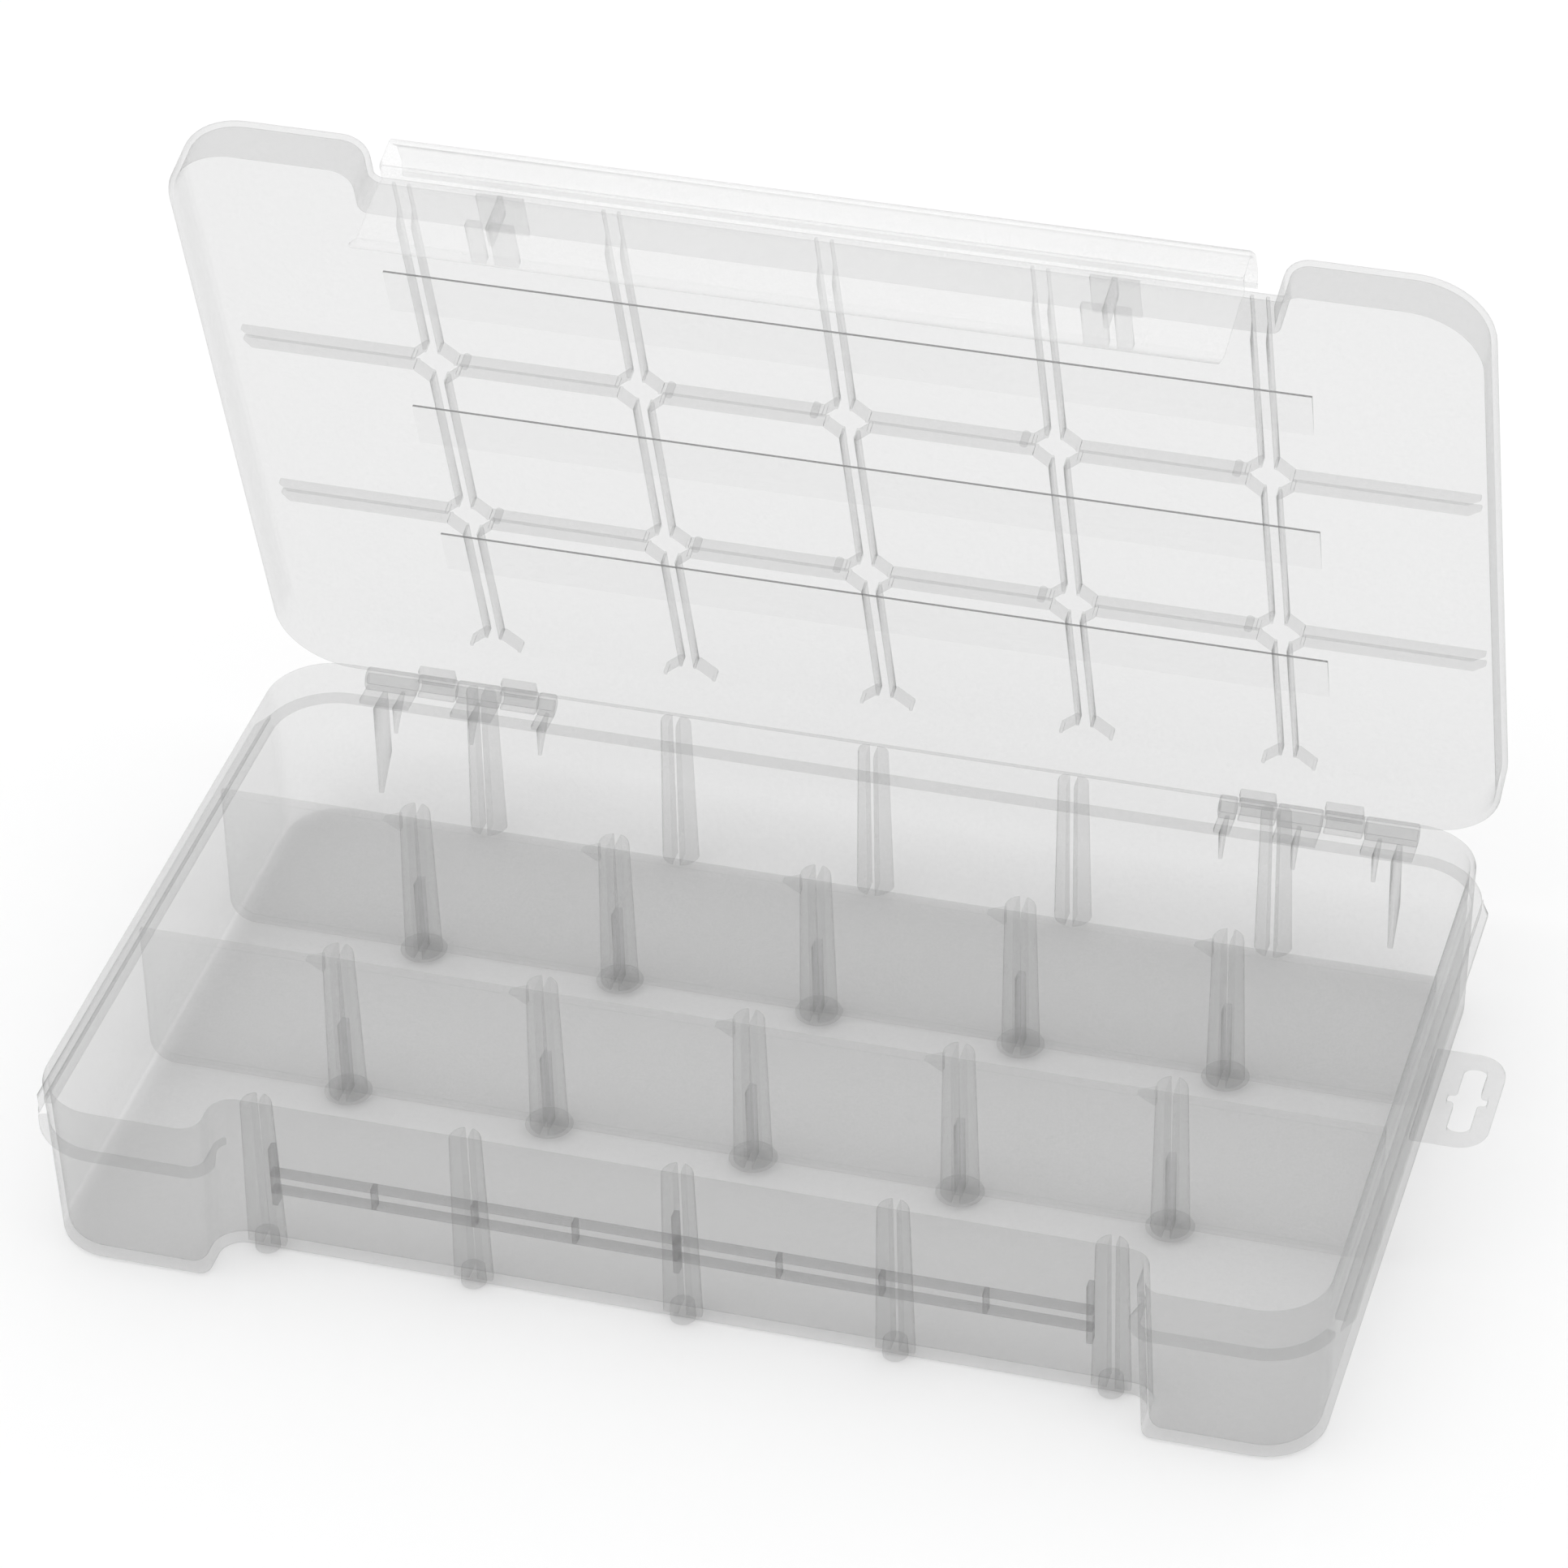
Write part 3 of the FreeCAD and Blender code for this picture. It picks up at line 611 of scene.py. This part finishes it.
def make_tub_hinge():
    """Round hinge blocks on a thin foot, the pins through them, gussets below and stand ribs."""
    y, z = hinge_line()
    wall = node_span("tub_back_wall", 1)[1]
    flange_low, flange_high = node_span("back_flange", 2)
    blocks = ((96.0, 100.5), (112.5, 124.5), (137.0, 151.5))
    gussets, gusset_half, gusset_drop = (98.2, 118.5, 141.0), 0.6, 8.0
    stand, stand_half, stand_foot = 146.5, 0.8, 6.0
    pin, pin_x, pin_half = 1.6, 123.75, 27.7
    bm = bmesh.new()
    for side in (-1, 1):
        for a, b in blocks:
            x0, x1 = sorted((side * a, side * b))
            bar = rod(bm, BARREL, x0, x1, (y, z))
            ends = {e for v in bar for e in v.link_edges if abs(e.verts[0].co.x - e.verts[1].co.x) < 0.01}
            soften(bm, ends, 0.4, 3)
            slab(bm, (x0, x1), (wall - 0.5, y), (z - BARREL, flange_high), 0.25)
        for x in gussets:
            root, top = wall - 0.8, flange_low + 1
            points = [(y, top), (root, top), (root, flange_low - gusset_drop)]
            prism(bm, points, "X", side * x - gusset_half, side * x + gusset_half, 0.2)
        rib = [(wall - 1.2, flange_low), (y, flange_low), (y, 15.0), (wall - 1.2, stand_foot)]
        prism(bm, rib, "X", side * stand - stand_half, side * stand + stand_half, 0.3)
        rod(bm, pin, side * pin_x - pin_half, side * pin_x + pin_half, (y, z), segments=16)
    stands_for = ("tub_hinge_blocks", "hinge_pins", "back_stand_ribs")
    return finish_piece(bm, "tub_hinge_moulding", "tub", stands_for)


# ---------------------------------------------------------------- the lid


def make_lid_moulding():
    """Panel and skirt in one, its edge rounded outside and in."""
    _, lid = sizes()
    skirt_z = shut_span("lid_back_skirt", 2)[0]
    top = shut_span("lid_panel", 2)[1]
    straight = 4
    up = top - skirt_z - lid.edge
    outer = [(lid.draft / straight, up / straight)] * straight + turn_in(lid.edge, 6)
    inner_edge = lid.edge - lid.wall
    up = top - lid.wall - skirt_z - inner_edge
    inner = [(lid.draft / straight, up / straight)] * straight + turn_in(inner_edge, 4)
    bm = cup(skirt_z, lid.out, lid.wall, outer, inner, upward=True)
    return finish_piece(
        bm,
        "lid_moulding",
        "lid",
        ("lid_panel", "lid_front_skirt", "lid_end_skirts", "lid_back_skirt"),
        shut=True,
    )


def make_lid_ribs():
    """Rib pairs along and across the lid, eight-sided rings round the posts, and splayed feet."""
    tub, _ = sizes()
    low, high = shut_span("lid_long_ribs", 2)
    half = shut_span("lid_long_ribs", 0)[1]
    front, back = shut_span("lid_cross_ribs", 1)
    lines = (-21.5, 43.0)
    thick, offset = 0.9, 2.05
    ring, foot_line, foot_ring = tub.post + 0.8, 101.65, tub.post + 1.9
    chamfer, chamfer_high = 3.0, 2.2
    foot_start, foot_run, foot_high = 9.5, 4, 0.9
    peg, peg_below = 1.1, 0.4
    high += 0.3  # into the panel
    bm = bmesh.new()
    xs = stations()
    for y in lines:
        for side in (-1, 1):
            mid = y + side * offset
            edges = [-half] + [x + s * (ring + thick) for x in xs for s in (-1, 1)] + [half]
            for a, b in zip(edges[::2], edges[1::2]):
                right = [(b, low + chamfer_high), (b - chamfer, low)] if b == half else [(b, low)]
                left = [(a + chamfer, low), (a, low + chamfer_high)] if a == -half else [(a, low)]
                points = [(a, high), (b, high)] + right + left
                prism(bm, points, "Y", mid - thick / 2, mid + thick / 2, 0.15)
    for x in xs:
        for side in (-1, 1):
            mid = x + side * offset
            stops = [front + foot_start]
            for y in lines:
                stops += [y - ring - thick, y + ring + thick]
            stops.append(foot_line - foot_ring - thick * 0.4)
            for a, b in zip(stops[::2], stops[1::2]):
                points = [(a, high), (b, high), (b, low), (a, low)]
                if a == stops[0]:
                    points = [(front, high), (b, high), (b, low), (a + foot_run, low)]
                    points += [(a, high - foot_high), (front, high - foot_high)]
                prism(bm, points, "X", mid - thick / 2, mid + thick / 2, 0.15)
        for y in lines:
            ring_walls(bm, x, y, ring, thick, low, high)
        ring_walls(bm, x, foot_line, foot_ring, thick, low, high, front_half=True)
    for column, x in enumerate(xs):
        side = 1 if column < 2 else -1
        for y in lines:
            rod(bm, peg, low - peg_below, high, (x + side * (ring + 3.0), y - offset), "Z", 12)
    stands_for = ("lid_long_ribs", "lid_cross_ribs", "lid_post_rings")
    return finish_piece(bm, "lid_rib_moulding", "lid", stands_for, "ribs", shut=True)


def ring_walls(bm, x, y, inside, thick, low, high, front_half=False):
    """Quarters of an eight-sided ring, open where the rib pairs run in."""
    gap, end_gap = 1.6, 2.0 if front_half else 1.6
    far = inside * math.tan(math.pi / 8)
    wide = inside + thick
    out = wide * math.tan(math.pi / 8)
    for sx in (-1, 1):
        for sy in (-1,) if front_half else (-1, 1):
            inner = [(gap, inside), (far, inside), (inside, far), (inside, end_gap)]
            outer = [(wide, end_gap), (wide, out), (out, wide), (gap, wide)]
            points = [(x + sx * px, y + sy * py) for px, py in inner + outer]
            prism(bm, points, "Z", low, high, 0.15)


def make_lid_ridges():
    """Three shallow steps along the outside of the lid, their risers and right ends darker with painted shade."""
    top = shut_span("lid_panel", 2)[1]
    crest = shut_span("lid_step_ridges", 2)[1]
    half = shut_span("lid_step_ridges", 0)[1]
    risers, run, sunk = (-52.0, 2.5, 57.0), 15.0, 0.2
    bm = bmesh.new()
    for y in risers:
        points = [(y, top - sunk), (y, crest), (y + run, top - sunk)]
        prism(bm, points, "X", -half, half, 0.0)
    bm.normal_update()
    for face in bm.faces:
        # Painted shade: the risers (facing -y) and the right ends (facing +x) take the darker second plastic, and
        # the left ends keep the clear one.
        face.material_index = int(face.normal.y < -0.9 or face.normal.x > 0.9)
    piece = finish_piece(bm, "lid_ridge_moulding", "lid", ("lid_step_ridges",), "step", shut=True)
    piece.data.materials.append(plastic("lid", "riser"))
    return piece


def make_lid_clips():
    """Clips that snap over the pins, each a split barrel on an arm from the skirt."""
    y, z = hinge_line()
    skirt = node_span("tub_back_wall", 1)[1] + sizes()[1].out
    clips, bore = ((101.5, 111.5), (125.5, 136.0)), 1.65
    angles = [math.radians(d) for d in range(-75, 196, 15)]
    outer = [(y + BARREL * math.cos(a), z + BARREL * math.sin(a)) for a in angles]
    inner = [(y + bore * math.cos(a), z + bore * math.sin(a)) for a in reversed(angles)]
    bm = bmesh.new()
    for side in (-1, 1):
        for a, b in clips:
            x0, x1 = sorted((side * a, side * b))
            prism(bm, outer + inner, "X", x0, x1, 0.2)
            slab(bm, (x0, x1), (skirt - 0.8, y - 1.9), (z + 0.6, z + 3.0), 0.3)
    return finish_piece(bm, "lid_clip_moulding", "lid", ("lid_hinge_clips",), shut=True)


# ---------------------------------------------------------------- the latch


def make_latch_flap():
    """One bent sheet: crowned top, upper face, finger step, lower face and flared lip."""
    half = node_span("latch_flap", 0)[1]
    thick, bar = 1.3, 0.7
    y, z = LATCH_AXIS
    front, step, step_low, lip, lip_low = LATCH_FRONT, 38.1, 35.3, 16.6, 11.4
    path = [(y, z), (y - 4.3, z + 1.6), (y - 11.6, z + 0.5), (front, z - 3.6), (front, step)]
    path += [(front + 5.2, step), (LATCH_LEAF, step_low), (LATCH_LEAF, lip), (front + 0.4, lip_low)]
    bm = bmesh.new()
    verts = [bm.verts.new((-half, py, pz)) for py, pz in path]
    for a, b in zip(verts, verts[1:]):
        bm.edges.new((a, b))
    made = bmesh.ops.extrude_edge_only(bm, edges=bm.edges[:])["geom"]
    moved = [item for item in made if isinstance(item, bmesh.types.BMVert)]
    bmesh.ops.translate(bm, vec=(2 * half, 0, 0), verts=moved)
    long_edges = [e for e in bm.edges if abs(e.verts[0].co.x - e.verts[1].co.x) > half and e.is_manifold]
    soften(bm, long_edges, 1.1, 5)
    bmesh.ops.recalc_face_normals(bm, faces=bm.faces)
    bmesh.ops.solidify(bm, geom=bm.faces[:], thickness=thick)
    soften_sharp(bm, 0.35, sharper_than=1.2)
    rod(bm, bar, -half, half, LATCH_AXIS, segments=14)
    # The flap's glossy plastic carries the painted sheen.
    return finish_piece(bm, "latch_flap_moulding", "latch", ("latch_flap",), "glossy", shut=True)


def make_latch_catches():
    """A stop shelf and a notched nose on a web, near each end inside the flap."""
    low, high = shut_span("latch_catches", 2)
    tip = shut_span("latch_catches", 1)[1]
    centre, half, shelf, nose, web_half = 80.7, 6.4, 1.4, 2.4, 0.7
    root = LATCH_LEAF + 0.3
    bm = bmesh.new()
    for side in (-1, 1):
        x = side * centre
        slab(bm, (x - half, x + half), (root, tip - 1.0), (high - shelf, high), 0.25)
        for inner, outer in ((-half, 0.1), (2.3, half)):  # the gap between them clears a web of the rail
            across = tuple(sorted((x + side * inner, x + side * outer)))
            slab(bm, across, (root, tip), (low, low + nose), 0.3)
        deep = (LATCH_LEAF + 0.2, (LATCH_LEAF + tip) / 2)
        slab(bm, (x - web_half, x + web_half), deep, (low, high), 0.2)
    return finish_piece(bm, "latch_catch_moulding", "latch", ("latch_catches",), shut=True)


def finish_frame_nodes():
    """Gives each CAD node its moulding's plastic, for any that no piece stands for."""
    for body, names in frame["record"]["behaviour"]["bodies"].items():
        for name in names:
            node = frame["nodes"][name]
            node.data.materials.clear()
            node.data.materials.append(plastic(body, "shell"))


# ---------------------------------------------------------------- the stage


def make_stage():
    """A pale floor, soft white studio light all round and a camera at the product view."""
    scene = bpy.context.scene
    world = bpy.data.worlds.new("white studio")
    world.use_nodes = True
    world.node_tree.nodes["Background"].inputs["Color"].default_value = (1, 1, 1, 1)
    world.node_tree.nodes["Background"].inputs["Strength"].default_value = 1.0
    scene.world = world
    scene.cycles.transparent_max_bounces = 64
    scene.view_settings.view_transform = "Standard"

    bm = bmesh.new()
    bmesh.ops.create_grid(bm, x_segments=1, y_segments=1, size=6.0)
    mesh = bpy.data.meshes.new("floor")
    bm.to_mesh(mesh)
    bm.free()
    floor = bpy.data.objects.new("floor", mesh)
    scene.collection.objects.link(floor)
    floor.location.z = -0.0004
    paper = bpy.data.materials.new("matt white paper sweep")
    paper.use_nodes = True
    shader = paper.node_tree.nodes["Principled BSDF"]
    shader.inputs["Base Color"].default_value = srgb("F6F6F6")
    shader.inputs["Roughness"].default_value = 0.9
    floor.data.materials.append(paper)

    lamps = (  # name, place and size in metres, power in watts
        ("key", (-0.6, -0.5, 1.5), 0.9, 2.4),
        ("back", (0.3, 1.4, 1.1), 1.2, 2.0),
        ("right", (1.3, -0.4, 0.8), 0.8, 1.0),
    )
    for name, place, size, power in lamps:
        light = bpy.data.lights.new(name, "AREA")
        light.size, light.energy = size, power
        lamp = bpy.data.objects.new(name, light)
        scene.collection.objects.link(lamp)
        aim = Vector((0.0, 0.0, 0.06)) - Vector(place)
        lamp.matrix_world = Matrix.Translation(place) @ aim.to_track_quat("-Z", "Y").to_matrix().to_4x4()

    camera = bpy.data.objects.new("camera", bpy.data.cameras.new("camera"))
    scene.collection.objects.link(camera)
    camera.data.sensor_width = 36.0
    camera.data.lens = 154.2
    camera.data.dof.use_dof = False
    azimuth, elevation, roll = math.radians(16.95), math.radians(36.46), math.radians(-1.63)
    turn = Matrix.Rotation(azimuth, 4, "Z") @ Matrix.Rotation(math.pi / 2 - elevation, 4, "X")
    place = Matrix.Translation((0.413, -1.3388, 1.1447))
    camera.matrix_world = place @ turn @ Matrix.Rotation(roll, 4, "Z")
    scene.camera = camera


# ---------------------------------------------------------------- operators and panel


def make_partitions():
    """Both fixed partitions."""
    for node in ("front_partition", "rear_partition"):
        make_partition(node)


def make_all_wall_posts():
    """The posts on both long walls."""
    make_wall_posts("front_wall_posts", 1)
    make_wall_posts("back_wall_posts", -1)


class MouldingOperator:
    """Runs its makers in turn. A maker that can't finish raises an error."""

    bl_options = {"REGISTER", "UNDO"}
    makers = ()

    def execute(self, context):
        for make in self.makers:
            make()
        return {"FINISHED"}


class TACKLE_OT_tub(MouldingOperator, bpy.types.Operator):
    """Build the tub's floor and walls"""

    bl_idname = "tackle.tub"
    bl_label = "Build Tub Shell"
    makers = (make_tub_moulding,)


class TACKLE_OT_partitions(MouldingOperator, bpy.types.Operator):
    """Build the two partitions and every slotted post"""

    bl_idname = "tackle.partitions"
    bl_label = "Build Partitions and Posts"
    makers = (make_partitions, make_all_wall_posts)


class TACKLE_OT_outside(MouldingOperator, bpy.types.Operator):
    """Build the stop flange, hang tab and latch rail"""

    bl_idname = "tackle.outside"
    bl_label = "Build Flange, Tab and Rail"
    makers = (make_flange, make_hang_tab, make_latch_rail)


class TACKLE_OT_hinge(MouldingOperator, bpy.types.Operator):
    """Build the hinge blocks and pins on the tub and the clips on the lid"""

    bl_idname = "tackle.hinge"
    bl_label = "Build Hinges"
    makers = (make_tub_hinge, make_lid_clips)


class TACKLE_OT_lid(MouldingOperator, bpy.types.Operator):
    """Build the lid's shell, ribs and step ridges"""

    bl_idname = "tackle.lid"
    bl_label = "Build Lid"
    makers = (make_lid_moulding, make_lid_ribs, make_lid_ridges)


class TACKLE_OT_latch(MouldingOperator, bpy.types.Operator):
    """Build the latch flap and its catches"""

    bl_idname = "tackle.latch"
    bl_label = "Build Latch"
    makers = (make_latch_flap, make_latch_catches)


class TACKLE_OT_frame_finish(MouldingOperator, bpy.types.Operator):
    """Give each frame node that is still shown the plastic of its moulding"""

    bl_idname = "tackle.frame_finish"
    bl_label = "Finish Frame Nodes"
    makers = (finish_frame_nodes,)


class TACKLE_OT_stage(MouldingOperator, bpy.types.Operator):
    """Build the white studio with its lights and camera"""

    bl_idname = "tackle.stage"
    bl_label = "Build Stage"
    makers = (make_stage,)


class TACKLE_PT_panel(bpy.types.Panel):
    """Sizes, colours and build buttons of the tackle box"""

    bl_label = "Tackle Box"
    bl_idname = "TACKLE_PT_panel"
    bl_space_type = "VIEW_3D"
    bl_region_type = "UI"
    bl_category = "Tackle Box"

    def draw(self, context):
        for group in (context.scene.tackle_tub, context.scene.tackle_lid, context.scene.tackle_look):
            box = self.layout.box()
            for key in group.bl_rna.properties.keys():
                if key not in ("rna_type", "name"):
                    box.prop(group, key)
        for step in OPERATORS:
            self.layout.operator(step.bl_idname)


GROUPS = {"tackle_tub": TubSizes, "tackle_lid": LidSizes, "tackle_look": PlasticLook}
OPERATORS = (
    TACKLE_OT_tub,
    TACKLE_OT_partitions,
    TACKLE_OT_outside,
    TACKLE_OT_hinge,
    TACKLE_OT_lid,
    TACKLE_OT_latch,
    TACKLE_OT_frame_finish,
    TACKLE_OT_stage,
)


def register():
    for name, group in GROUPS.items():
        bpy.utils.register_class(group)
        setattr(bpy.types.Scene, name, PointerProperty(type=group))
    for item in OPERATORS + (TACKLE_PT_panel,):
        bpy.utils.register_class(item)


def unregister():
    for item in (TACKLE_PT_panel,) + OPERATORS[::-1]:
        bpy.utils.unregister_class(item)
    for name, group in GROUPS.items():
        delattr(bpy.types.Scene, name)
        bpy.utils.unregister_class(group)


def main():
    register()
    bpy.ops.tackle.tub()
    bpy.ops.tackle.partitions()
    bpy.ops.tackle.outside()
    bpy.ops.tackle.hinge()
    bpy.ops.tackle.lid()
    bpy.ops.tackle.latch()
    bpy.ops.tackle.frame_finish()
    bpy.ops.tackle.stage()


if __name__ == "__main__":
    main()
